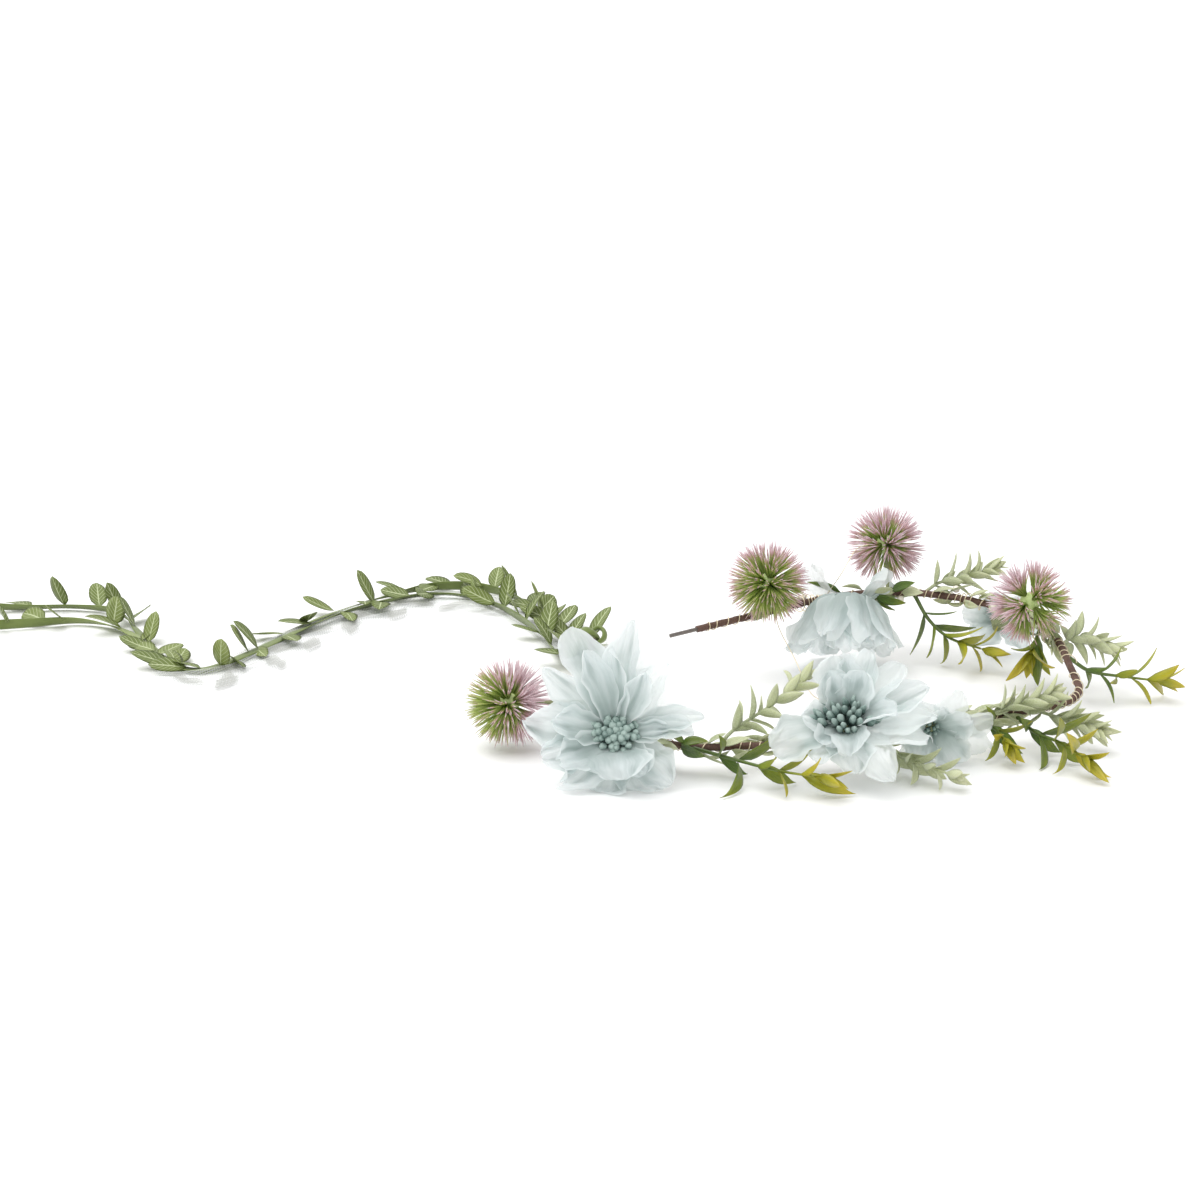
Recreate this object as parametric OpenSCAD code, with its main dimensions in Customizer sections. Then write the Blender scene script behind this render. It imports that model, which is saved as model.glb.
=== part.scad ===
/* [Ring] */
// Radius of the bare steel core wire, mm
core_r = 0.8; // [0.6:0.1:1.0]
// Outer radius of the paper tape wound on the core, mm
tape_r = 1.35; // [1.2:0.05:1.5]
// Height of the ring's middle above the table, mm
ring_height = 18.5; // [16:0.5:22]
// Slope of the ring, its back lying higher on the flowers, degrees
ring_tilt = 7.2; // [5:0.1:9]
// Gap left in the wire at the flexing point, mm
flex_gap = 0.8; // [0.6:0.1:1.2]

/* [Pompoms] */
// Radius over the needle tips, mm
ball_r = 17.5; // [15:0.5:17.5]
// Radius of one tuft of needles at its tips, mm
tuft_r = 3.7; // [3:0.1:4.2]
// Radius of the ball's core, mm
ball_core_r = 4; // [3:0.5:5]
// Radial clearance of the stem's wrap on the tape, mm
wrap_clearance = 0.06; // [0.04:0.01:0.1]

/* [Flowers] */
// Thickness of a stiffened petal layer, mm
petal_t = 0.6; // [0.5:0.1:0.8]
// Number of petals cut in one layer
petals = 6; // [5:1:7]
// Number of stamens in one bunch
stamens = 13; // [7:1:19]

/* [Sprays] */
// Radius of a moulded stem, mm
stem_r = 0.7; // [0.6:0.1:0.8]
// Thickness of a moulded leaf, mm
leaf_t = 0.8; // [0.6:0.1:1]

/* [Ribbons] */
// Width of the leaf trim's woven band, mm
band_w = 4.5; // [4:0.5:5]
// Thickness of the band, mm
band_t = 0.8; // [0.6:0.1:0.8]
// Width of the tulle ribbon as it lies, mm
tulle_w = 26; // [20:1:30]
// Mean radius of the coil at the free end of each leaf trim, mm
coil_r = 25; // [23:1:27]

/* [Hidden] */

// moves the whole model so that the middle of its base is the origin
origin_shift = [-5.2, -1.4, 0];

// The ring is a run of arcs [radius, degrees] and straights [0, length], turning left.
front_start = [-86, 30, -95];
front_path = [[150, 35], [24, 65], [0, 40], [60, 17], [0, 78], [20, 70], [0, 17 - flex_gap / 2]];
flex_point = [97.6, 3.2, 92];
back_start = step(flex_point, [0, flex_gap / 2]);
bare_end = 12;
back_path = [[0, 17 - flex_gap / 2], [62, 120], [0, 68 - bare_end]];

// place and heading after one run of the path
function step(p, s) = s[0] == 0
    ? [p[0] + s[1] * cos(p[2]), p[1] + s[1] * sin(p[2]), p[2]]
    : [p[0] + s[0] * (sin(p[2] + s[1]) - sin(p[2])),
       p[1] + s[0] * (cos(p[2]) - cos(p[2] + s[1])), p[2] + s[1]];
function run_length(s) = s[0] == 0 ? s[1] : s[0] * s[1] * PI / 180;
function after(start, path, n) = n == 0 ? start : step(after(start, path, n - 1), path[n - 1]);
function path_length(path, n) = n == 0 ? 0 : path_length(path, n - 1) + run_length(path[n - 1]);
// place and heading at distance d along a path
function along(start, path, d, i = 0) =
    d <= run_length(path[i]) || i == len(path) - 1
    ? step(start, path[i][0] == 0 ? [0, d] : [path[i][0], d / path[i][0] * 180 / PI])
    : along(step(start, path[i]), path, d - run_length(path[i]), i + 1);

function wire_pose(back, d) = back ? along(back_start, back_path, d)
    : along(front_start, front_path, d);
// the point of the wire's axis at distance d from the start of its front or back half
function wire_point(back, d) = let(p = wire_pose(back, d))
    [p[0], p[1] * cos(ring_tilt), ring_height + p[1] * sin(ring_tilt)];
// the point just inside the tape, on the side towards t
function bound_point(back, d, t) = let(w = wire_point(back, d))
    w + (t - w) / norm(t - w) * (tape_r - 0.1);

module seat() translate(origin_shift) children();
module ring_plane() seat() translate([0, 0, ring_height]) rotate([ring_tilt, 0, 0]) children();
// local x runs along the wire, y towards the inside of the ring, z up from its plane
module on_wire(p) ring_plane() translate([p[0], p[1], 0]) rotate([0, 0, p[2]]) children();

// Runs stop a little short of each other, and a thin inner sleeve joins them.
run_gap = 0.4;
module pipe(r, b, length) difference() {
    cylinder(r = r, h = length, $fn = 32);
    if (b > 0) translate([0, 0, -1]) cylinder(r = b, h = length + 2, $fn = 32);
}
// a tube of outer radius r and bore b along the whole of a path
module tube(start, path, r, b) for (i = [0:len(path) - 1]) {
    p = after(start, path, i);
    bend = path[i][0];
    first = i == 0 ? 0 : run_gap;
    last = i == len(path) - 1 ? 0 : run_gap;
    if (bend == 0)
        on_wire(p) rotate([0, 90, 0]) translate([0, 0, first])
            pipe(r, b, path[i][1] - first - last);
    else
        on_wire(p) translate([0, bend, 0]) rotate([0, 0, first / bend * 180 / PI - 90])
            rotate_extrude(angle = path[i][1] - (first + last) / bend * 180 / PI, $fn = 180)
                translate([bend, 0]) difference() {
                    circle(r = r, $fn = 32);
                    if (b > 0) circle(r = b, $fn = 32);
                }
    if (i > 0)
        on_wire(p) rotate([0, 90, 0]) translate([0, 0, -3 * run_gap])
            pipe(b > 0 ? r - 0.1 : 0.75 * r, b > 0 ? b + 0.1 : 0, 6 * run_gap);
}

module core_wire_front() color("dimgray") tube(front_start, front_path, core_r, 0);
module core_wire_back() color("dimgray")
    tube(back_start, concat(back_path, [[0, bare_end]]), core_r, 0);
module tape_front() color("saddlebrown") tube(front_start, front_path, tape_r, core_r);
module tape_back() color("saddlebrown") tube(back_start, back_path, tape_r, core_r);

// one turn of the gold wire round the tape
gold_r = 0.25;
module gold_turn(p) on_wire(p) rotate([0, 90, 0])
    rotate_extrude($fn = 48) translate([tape_r + gold_r + 0.05, 0]) circle(r = gold_r, $fn = 16);
// turns a step apart from lo to hi, left out where a stem is bound
function turns(rows, back, lo, gap, hi) = let(
        taken = [for (row = rows) if (row[0] == back) row[1]])
    [for (d = [lo:gap:hi]) if (min([for (t = taken) abs(t - d)]) > 3.4) d];
module gold_wire_front() color("goldenrod")
    for (d = turns(all_rows, false, 30, 7, 290)) gold_turn(wire_pose(false, d));
module gold_wire_back() color("goldenrod")
    for (d = turns(all_rows, true, 5, 6, 196)) gold_turn(wire_pose(true, d));

// beads on the gold wire: [distance along the back half, angle round it, length of a drop's tail]
bead_r = 1.5;
bead_rows = [[86, 130, 0], [66, 30, 0], [139, 200, 4], [148, 170, 4], [51, 190, 4], [108, 330, 0]];
module bead(row) on_wire(wire_pose(true, row[0])) rotate([row[1], 0, 0])
    translate([0, tape_r + 2 * gold_r + bead_r + 0.2, 0]) rotate([0, 90, 0]) {
        sphere(r = bead_r, $fn = 32);
        if (row[2] > 0) cylinder(r1 = bead_r * 0.97, r2 = 0.4, h = row[2], $fn = 32);
    }
module beads() color("ivory") for (row = bead_rows) bead(row);

// turns local z to point along direction a
module aim(a) rotate([0, acos(a[2] / norm(a)), atan2(a[1], a[0])]) children();
module above_table() intersection() {
    children();
    seat() translate([-200, -200, 0]) cube([400, 400, 200]);
}

// Flowers: [on the back half, distance along it, base, axis, outer radius, cup radius, roll]
flower_rows = [
    [false, 93, [-77, -80, 17], [-0.08, -0.86, 0.5], 33, 42, 0],
    [false, 167, [6, -76, 18], [-0.15, -0.5, 0.85], 27, 30, 20],
    [true, 128, [17, 72, 21], [-0.05, -0.62, -0.78], 24, 25, 10],
    [true, 59.8, [80, 82, 16], [0.3, 0.9, 0.2], 16, 20, 0],
    [false, 203, [38, -57, 15], [0.15, -0.85, -0.3], 20, 22, 15]
];
module at_flower(row) seat() translate(row[2]) aim(row[3]) rotate([0, 0, row[6]]) children();
// the profile of a petal bowl: steps round an arc of radius cup_r, out to radius r
function bowl_side(r, cup_r, reach, steps) = let(end = asin(reach / cup_r))
    [for (k = [0:steps]) let(a = end * k / steps) [r * sin(a), cup_r - r * cos(a)]];
bowl_steps = 5;
// one layer of petals: a thin bowl cut to a ring of rounded petals
module petal_layer(out_r, cup_r, lift, turn) {
    lobe_r = out_r * 0.36;
    outside = bowl_side(cup_r, cup_r, out_r, bowl_steps);
    inside = bowl_side(cup_r - petal_t, cup_r, out_r, bowl_steps);
    translate([0, 0, lift]) rotate([0, 0, turn]) intersection() {
        rotate_extrude($fn = 96)
            polygon(concat(outside, [for (k = [bowl_steps:-1:0]) inside[k]]));
        difference() {
            translate([0, 0, -1]) linear_extrude(height = cup_r) union() {
                circle(r = out_r * 0.52, $fn = 64);
                for (k = [0:petals - 1]) rotate(k * 360 / petals)
                    translate([out_r * 0.99 - lobe_r, 0]) circle(r = lobe_r, $fn = 48);
            }
            translate([0, 0, -2]) cylinder(r = 1.3, h = cup_r, $fn = 24);
        }
    }
}
module outer_petals(i) color("lightcyan") above_table() at_flower(flower_rows[i - 1])
    petal_layer(flower_rows[i - 1][4], flower_rows[i - 1][5], 0, 0);
module inner_petals(i) color("aliceblue") above_table() at_flower(flower_rows[i - 1])
    petal_layer(flower_rows[i - 1][4] * 0.8, flower_rows[i - 1][5] * 0.8, 1.4, 180 / petals);
// a bunch of thin stalks with round pips on a small base
module stamen_bunch(i) color("cadetblue") at_flower(flower_rows[i - 1]) translate([0, 0, 3.6]) {
    cylinder(r = 4, h = 1.5, $fn = 32);
    for (k = [0:stamens - 1]) rotate([0, 0, k * 137.5]) {
        lean = 30 * sqrt((k + 0.5) / stamens);
        translate([3.4 * sqrt((k + 0.5) / stamens), 0, 0.5]) rotate([0, lean, 0]) {
            cylinder(r = 0.4, h = 9, $fn = 16);
            translate([0, 0, 9]) sphere(r = 1.2, $fn = 24);
        }
    }
}
// the flower's taped neck, and its stem, bound against the ring
module calyx(i) color("darkseagreen") {
    row = flower_rows[i - 1];
    at_flower(row) rotate_extrude($fn = 48)
        polygon([[0, -7], [1.6, -7], [3.8, -0.4], [1.2, -0.4], [1.2, 3.5], [0, 3.5]]);
    neck = row[2] - 6 * row[3] / norm(row[3]);
    seat() rod(neck, bound_point(row[0], row[1], neck), 0.8);
}
// a straight round rod from a to b
module rod(a, b, r) translate(a) aim(b - a) cylinder(r = r, h = norm(b - a), $fn = 24);

// Pompoms: [on the back half, distance along it, lean from outward, reach to the ball's middle]
pompom_rows = [[false, 59.7, 7, 39.6], [true, 173.3, 114, 18], [true, 113, 43, 21.5], [true, 27.2, 125, 20.5]];
// local z runs from the wire to the middle of the ball
module at_pompom(row) on_wire(wire_pose(row[0], row[1])) rotate([90 - row[2], 0, 0]) children();
wrap_l = 3;
module pompom_stem(i) color("olivedrab") at_pompom(pompom_rows[i - 1]) {
    reach = pompom_rows[i - 1][3];
    bore_r = tape_r + wrap_clearance;
    difference() {
        union() {
            translate([-wrap_l / 2, 0, 0]) rotate([0, 90, 0])
                cylinder(r = bore_r + 0.8, h = wrap_l, $fn = 32);
            cylinder(r = 0.8, h = reach - ball_core_r + 0.2, $fn = 24);
        }
        translate([-wrap_l, 0, 0]) rotate([0, 90, 0]) cylinder(r = bore_r, h = 2 * wrap_l, $fn = 32);
    }
}
module pompom_core(i) color("green") at_pompom(pompom_rows[i - 1])
    translate([0, 0, pompom_rows[i - 1][3]]) sphere(r = ball_core_r, $fn = 48);
// eleven tufts of needles, pressed on the core at an icosahedron's corners; the stem has the twelfth
tuft_lean = atan(2);
module tuft(lean, turn) rotate([0, lean, turn]) translate([0, 0, ball_core_r - 0.3])
    cylinder(r1 = 1.1, r2 = tuft_r, h = ball_r * cos(12) - ball_core_r + 0.3, $fn = 32);
module pompom_tufts(i) color("plum") at_pompom(pompom_rows[i - 1])
    translate([0, 0, pompom_rows[i - 1][3]]) {
        tuft(0, 0);
        for (k = [0:4]) {
            tuft(tuft_lean, k * 72);
            tuft(180 - tuft_lean, k * 72 + 36);
        }
    }

// a flat pointed leaf, its base at the origin and its length along z: shares of half the width
// and of the length, round its outline
leaf_outline = [
    [0.2, 0], [0.7, 0.2], [1, 0.45], [0.75, 0.75], [0.1, 1],
    [-0.1, 1], [-0.75, 0.75], [-1, 0.45], [-0.7, 0.2], [-0.2, 0]
];
module leaf(length, width) rotate([90, 0, 0]) translate([0, 0, -leaf_t / 2])
    linear_extrude(height = leaf_t) polygon([for (p = leaf_outline) [p[0] * width / 2, p[1] * length]]);
// A spray is moulded in one: a stem that thins at each point, with pairs of leaves. Each run laps
// back into the one before it and is a share of stem_r thinner.
stem_lap = 0.3;
stem_step = 0.15;
function on_points(pts, t) = let(n = len(pts) - 1, i = min(floor(t * n), n - 1), f = t * n - i)
    pts[i] + (pts[i + 1] - pts[i]) * f;
function heading_at(pts, t) = let(n = len(pts) - 1, i = min(floor(t * n), n - 1))
    pts[i + 1] - pts[i];
module spray(row) seat() {
    pts = concat([bound_point(row[0], row[1], row[2][0])], row[2]);
    for (i = [0:len(pts) - 2]) {
        run = pts[i + 1] - pts[i];
        rod(pts[i] - run / norm(run) * (i == 0 ? 0 : stem_lap), pts[i + 1],
            stem_r * (1.15 - stem_step * i));
    }
    for (k = [1:row[6]]) {
        t = 0.15 + 0.85 * k / row[6];
        size = 1 - 0.25 * t;
        translate(on_points(pts, t)) aim(heading_at(pts, t)) for (side = [0, 180])
            rotate([0, 0, row[3] + 90 * k + side]) rotate([row[7], 0, 0])
                leaf(row[4] * size, row[5] * size);
    }
}
// Rows are [on the back half, distance along it, points from there, roll of the first pair,
// leaf length, leaf width, pairs, spread].
glossy_rows = [
    [false, 112, [[-34, -82, 9], [-20, -91, 8], [-7, -98, 8]], 45, 16, 5, 4, 42],
    [true, 102.8, [[50, 72, 19], [58, 66, 13], [70, 61, 10]], 0, 15, 5, 4, 42],
    [false, 238, [[77, -51, 10], [85, -61, 9], [91, -74, 8]], 45, 17, 5, 4, 42],
    [true, 12, [[107, 15, 14], [120, 18, 11], [133.5, 19, 9]], 45, 14, 4.5, 4, 40],
    [false, 223, [[63, -52, 11], [65, -59, 9]], 45, 13, 4.5, 2, 40],
    [true, 41, [[90, 45, 19], [88, 41, 14]], 20, 14, 5, 2, 40]
];
flocked_rows = [
    [false, 122, [[-34, -64, 15], [-20, -56, 22], [-8, -48, 29]], 10, 11, 4, 6, 45],
    [true, 99, [[55, 82, 32], [65, 83, 34], [76, 82, 38]], 0, 11, 4, 6, 45],
    [true, 22, [[103, 34, 22], [110, 35, 21], [118, 35, 18]], 0, 11, 4, 6, 45],
    [false, 226, [[68, -44, 17], [76, -42, 19], [84, -40, 21]], 15, 11, 4, 5, 42],
    [false, 184, [[24, -71, 8], [33, -82, 7], [43, -90, 6]], 35, 11, 4, 4, 42],
    [false, 247, [[86, -38, 12], [93, -41, 11], [101, -45, 9]], 20, 12, 4, 5, 40]
];
all_rows = concat(flower_rows, pompom_rows, glossy_rows, flocked_rows);

// Ribbons: round points along each, from the knot to the table and away to the left.
knot_at = [-86, 32, 22.6];
trim_a_points = [
    [-86, 39, 22], [-87, 52, 15], [-89, 68, 6], [-92, 86, 1.6], [-98, 112, 1.2],
    [-106, 140, 1.2], [-118, 168, 1.2], [-136, 186, 1.2], [-156, 188, 1.2],
    [-174, 176, 1.2], [-192, 156, 1.2], [-208, 130, 1.2], [-222, 98, 1.2],
    [-236, 66, 1.2], [-250, 62, 1.2], [-264, 84, 1.2], [-276, 116, 1.2],
    [-290, 146, 1.2], [-310, 156, 1.2], [-334, 154, 1.2], [-362, 155, 1.2], [-390, 156, 1.2]
];
trim_b_points = [
    [-90, 38, 22], [-93, 50, 14], [-97, 66, 6], [-101, 84, 2.2], [-107, 108, 2.2],
    [-117, 134, 2.2], [-130, 160, 2.4], [-146, 176, 2.4], [-162, 174, 2.4],
    [-178, 160, 2.4], [-194, 142, 2.4], [-210, 116, 2.4], [-226, 84, 2.4],
    [-242, 60, 2.4], [-258, 68, 2.4], [-270, 96, 2.4], [-286, 122, 2.4],
    [-304, 132, 2.4], [-326, 126, 2.4], [-350, 121, 2.4], [-378, 120, 2.4]
];
tulle_points = [
    [-80, 38, 18], [-80, 52, 8], [-83, 70, 2], [-90, 94, 0.4], [-100, 122, 0.4],
    [-116, 150, 0.4], [-138, 166, 0.4], [-160, 162, 0.4], [-182, 144, 0.4],
    [-200, 118, 0.4], [-214, 90, 0.4], [-228, 60, 0.4], [-244, 44, 0.4], [-262, 44, 0.4]
];
// a flat ribbon swept along points, with a rounded eight-sided section
sides = 8;
function level(v) = let(n = norm([v[0], v[1]])) [v[0] / n, v[1] / n];
function ring_of(pts, i, w, t) = let(
        a = pts[max(i - 1, 0)], b = pts[min(i + 1, len(pts) - 1)],
        d = (b - a) / norm(b - a), h = level(d), across = [-h[1], h[0], 0],
        up = cross(across, d) * -1)
    [for (k = [0:sides - 1]) pts[i]
        + across * w / 2 * cos(k * 360 / sides + 22.5) - up * t / 2 * sin(k * 360 / sides + 22.5)];
module ribbon(pts, w, t) {
    n = len(pts);
    polyhedron(
        points = [for (i = [0:n - 1]) each ring_of(pts, i, w, t)],
        faces = [
            [for (k = [0:sides - 1]) k],
            [for (k = [sides - 1:-1:0]) (n - 1) * sides + k],
            for (i = [0:n - 2], k = [0:sides - 1]) let(a = i * sides, m = (k + 1) % sides)
                each [[a + k, a + sides + k, a + sides + m], [a + k, a + sides + m, a + m]]
        ]);
}
module leaf_trim_a() color("olivedrab") seat() ribbon(trim_a_points, band_w, band_t);
module leaf_trim_b() color("yellowgreen") seat() ribbon(trim_b_points, band_w, band_t);
module tulle_ribbon() color("white") seat() ribbon(tulle_points, tulle_w, 0.4);
module ribbon_knot() color("olivedrab") seat() translate(knot_at) sphere(r = 6, $fn = 48);
// the coil that a trim's free end is wound in, standing on the band's edge
module coil(middle) seat() translate(middle) rotate_extrude($fn = 96)
    translate([coil_r - 3, 0]) square([6, band_w]);
module leaf_trim_a_coil() color("olivedrab") coil([-390, 181, 0.4]);
module leaf_trim_b_coil() color("yellowgreen") coil([-378, 95, 0.4]);

core_wire_front();
core_wire_back();
tape_front();
tape_back();
gold_wire_front();
gold_wire_back();
beads();
outer_petals(1);  // flower_1_outer_petals
inner_petals(1);  // flower_1_inner_petals
stamen_bunch(1);  // flower_1_stamens
calyx(1);  // flower_1_calyx
outer_petals(2);  // flower_2_outer_petals
inner_petals(2);  // flower_2_inner_petals
stamen_bunch(2);  // flower_2_stamens
calyx(2);  // flower_2_calyx
outer_petals(3);  // flower_3_outer_petals
inner_petals(3);  // flower_3_inner_petals
stamen_bunch(3);  // flower_3_stamens
calyx(3);  // flower_3_calyx
outer_petals(4);  // flower_4_outer_petals
inner_petals(4);  // flower_4_inner_petals
stamen_bunch(4);  // flower_4_stamens
calyx(4);  // flower_4_calyx
outer_petals(5);  // flower_5_outer_petals
inner_petals(5);  // flower_5_inner_petals
stamen_bunch(5);  // flower_5_stamens
calyx(5);  // flower_5_calyx
pompom_stem(1);  // pompom_1_stem
pompom_core(1);  // pompom_1_core
pompom_tufts(1);  // pompom_1_tufts
pompom_stem(2);  // pompom_2_stem
pompom_core(2);  // pompom_2_core
pompom_tufts(2);  // pompom_2_tufts
pompom_stem(3);  // pompom_3_stem
pompom_core(3);  // pompom_3_core
pompom_tufts(3);  // pompom_3_tufts
pompom_stem(4);  // pompom_4_stem
pompom_core(4);  // pompom_4_core
pompom_tufts(4);  // pompom_4_tufts
color("forestgreen") spray(glossy_rows[0]);  // glossy_spray_1
color("forestgreen") spray(glossy_rows[1]);  // glossy_spray_2
color("forestgreen") spray(glossy_rows[2]);  // glossy_spray_3
color("forestgreen") spray(glossy_rows[3]);  // glossy_spray_4
color("forestgreen") spray(glossy_rows[4]);  // glossy_spray_5
color("forestgreen") spray(glossy_rows[5]);  // glossy_spray_6
color("darkkhaki") spray(flocked_rows[0]);  // flocked_spray_1
color("darkkhaki") spray(flocked_rows[1]);  // flocked_spray_2
color("darkkhaki") spray(flocked_rows[2]);  // flocked_spray_3
color("darkkhaki") spray(flocked_rows[3]);  // flocked_spray_4
color("darkkhaki") spray(flocked_rows[4]);  // flocked_spray_5
color("darkkhaki") spray(flocked_rows[5]);  // flocked_spray_6
ribbon_knot();
leaf_trim_a();
leaf_trim_b();
leaf_trim_a_coil();
leaf_trim_b_coil();
tulle_ribbon();
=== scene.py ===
import math
import random

import bmesh
import bpy
import numpy as np
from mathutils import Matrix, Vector


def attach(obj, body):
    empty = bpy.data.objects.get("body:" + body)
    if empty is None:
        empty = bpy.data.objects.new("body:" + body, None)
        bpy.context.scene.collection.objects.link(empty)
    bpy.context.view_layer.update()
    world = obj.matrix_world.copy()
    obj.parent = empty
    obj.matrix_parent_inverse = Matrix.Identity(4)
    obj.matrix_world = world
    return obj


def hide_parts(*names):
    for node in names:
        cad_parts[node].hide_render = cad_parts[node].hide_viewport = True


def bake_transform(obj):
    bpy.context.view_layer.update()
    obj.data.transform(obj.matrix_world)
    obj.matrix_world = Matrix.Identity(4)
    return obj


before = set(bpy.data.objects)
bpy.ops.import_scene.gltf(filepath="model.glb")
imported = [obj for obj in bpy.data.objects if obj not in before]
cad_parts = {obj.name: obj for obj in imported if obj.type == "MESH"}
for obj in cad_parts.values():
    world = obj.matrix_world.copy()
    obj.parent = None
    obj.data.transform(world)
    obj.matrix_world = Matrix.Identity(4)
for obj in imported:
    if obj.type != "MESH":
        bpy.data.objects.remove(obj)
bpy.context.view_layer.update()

# Lengths below are millimetres from the ring's own origin; place() turns them into the metres
# of the shared frame, whose origin is under the middle of the crown.
ORIGIN_SHIFT = np.array([-5.2, -1.4, 0.0])
VIEW_ELEVATION = 15
VIEW_UP = np.array(
    [0.0, math.sin(math.radians(VIEW_ELEVATION)), math.cos(math.radians(VIEW_ELEVATION))])
UP = np.array([0, 0, 1.0])
GOLDEN_ANGLE = 137.508


def place(points):
    return (np.asarray(points, float) + ORIGIN_SHIFT) / 1000


def unit(v):
    v = np.asarray(v, float)
    return v / np.linalg.norm(v)


def units(rows):
    return rows / np.linalg.norm(rows, axis=1)[:, None]


def turned(a, b, angle):
    """a turned towards b by one angle, or by an array of angles that broadcasts."""
    cos, sin = (np.cos, np.sin) if isinstance(angle, np.ndarray) else (math.cos, math.sin)
    return cos(angle) * a + sin(angle) * b


def around(sides):
    return np.arange(sides) * 2 * math.pi / sides


def link(name, data):
    obj = bpy.data.objects.new(name, data)
    bpy.context.scene.collection.objects.link(obj)
    return obj


def on_table(points, least=0.35, soft=3.0):
    """Points that would sink into the table lie on it instead."""
    p = np.array(points, float)
    z = p[..., 2]
    low = z < least + soft
    z[low] = least + soft * np.exp((z[low] - least - soft) / soft)
    return p


# ---------------------------------------------------------------- meshes
class Shape:
    """Collects surfaces, each with a place along it, a tint and a flat place in its cloth."""

    def __init__(self):
        self.verts, self.faces, self.uv = [], [], []
        self.along, self.tint, self.count = [], [], 0

    def grid(self, points, closed=False, loop=False, along=0.0, tint=0.0, uv=None):
        """points is rows by columns. closed joins the last column to the first and caps both
        ends; loop joins the last row to the first in place of the caps. along and tint are one
        value, one for each row or one for each point."""
        n, m = points.shape[:2]
        faces = [
            (i * m + j, i * m + (j + 1) % m, (i + 1) % n * m + (j + 1) % m, (i + 1) % n * m + j)
            for i in range(n if loop else n - 1)
            for j in range(m if closed else m - 1)
        ]
        if closed and not loop:
            faces += [tuple(range(m - 1, -1, -1)), tuple((n - 1) * m + j for j in range(m))]
        self.verts.append(points.reshape(-1, 3))
        self.faces += [tuple(i + self.count for i in f) for f in faces]
        for values, value in ((self.along, along), (self.tint, tint)):
            value = np.asarray(value, float).reshape(-1)
            if len(value) == n:
                value = np.repeat(value, m)
            values.append(np.broadcast_to(value, (n * m,)))
        self.uv.append(np.zeros((n * m, 2)) if uv is None else uv.reshape(-1, 2))
        self.count += n * m

    def make(self, name, material, slot, body=None, replaces=(), solid=True):
        """The object, attached to a body if one is given; without one it is left unattached."""
        mesh = bpy.data.meshes.new(name)
        mesh.from_pydata(place(np.concatenate(self.verts)).tolist(), [], self.faces)
        loops = np.zeros(len(mesh.loops), np.int32)
        mesh.loops.foreach_get("vertex_index", loops)
        mesh.uv_layers.new(name="cloth").data.foreach_set(
            "uv", np.concatenate(self.uv)[loops].astype(np.float32).ravel())
        for key, values in (("along", self.along), ("tint", self.tint)):
            mesh.attributes.new(key, "FLOAT", "POINT").data.foreach_set(
                "value", np.concatenate(values).astype(np.float32))
        if solid:
            bm = bmesh.new()
            bm.from_mesh(mesh)
            bmesh.ops.recalc_face_normals(bm, faces=bm.faces)
            bm.to_mesh(mesh)
            bm.free()
        mesh.polygons.foreach_set("use_smooth", np.ones(len(mesh.polygons), bool))
        mesh.materials.append(material)
        obj = link(name, mesh)
        if body:
            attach(obj, body)
        if replaces:
            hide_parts(*replaces)
        return obj


def smooth_path(points, gap):
    """A Catmull-Rom curve through points, in even steps of about gap."""
    p = np.asarray(points, float)
    p = np.vstack([2 * p[0] - p[1], p, 2 * p[-1] - p[-2]])
    t = np.linspace(0, 1, 24, endpoint=False)[:, None]
    fine = [
        0.5 * (2 * b + (c - a) * t + (2 * a - 5 * b + 4 * c - d) * t**2
               + (3 * b - a - 3 * c + d) * t**3)
        for a, b, c, d in zip(p, p[1:], p[2:], p[3:])
    ]
    return even(np.vstack(fine + [p[-2]]), gap)


def even(line, gap):
    """The same line in even steps of about gap."""
    far = np.concatenate([[0], np.cumsum(np.linalg.norm(np.diff(line, axis=0), axis=1))])
    s = np.linspace(0, far[-1], max(2, round(far[-1] / gap) + 1))
    return np.stack([np.interp(s, far, line[:, k]) for k in range(3)], 1)


def length_of(line):
    return float(np.linalg.norm(np.diff(line, axis=0), axis=1).sum())


def frames(line):
    """Tangents and two cross directions that don't twist along a line."""
    t = units(np.gradient(line, axis=0))
    a = UP
    if abs(t[0] @ a) > 0.95:
        a = np.array([1.0, 0, 0])
    sides = []
    for d in t:
        a = unit(a - (a @ d) * d)
        sides.append(a)
    sides = np.array(sides)
    return t, sides, np.cross(t, sides)


def heading_frames(line):
    """Tangents, level directions across the line, and what is up from both."""
    t = units(np.gradient(line, axis=0))
    level = units(np.cross(UP, t))
    return t, level, np.cross(t, level)


def tube(shape, line, radius, sides, **facts):
    _, a, b = frames(line)
    ring = turned(a[:, None], b[:, None], around(sides)[None, :, None])
    r = np.broadcast_to(np.asarray(radius, float).reshape(-1, 1), (len(line), sides))
    shape.grid(line[:, None] + r[:, :, None] * ring, closed=True, **facts)


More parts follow.
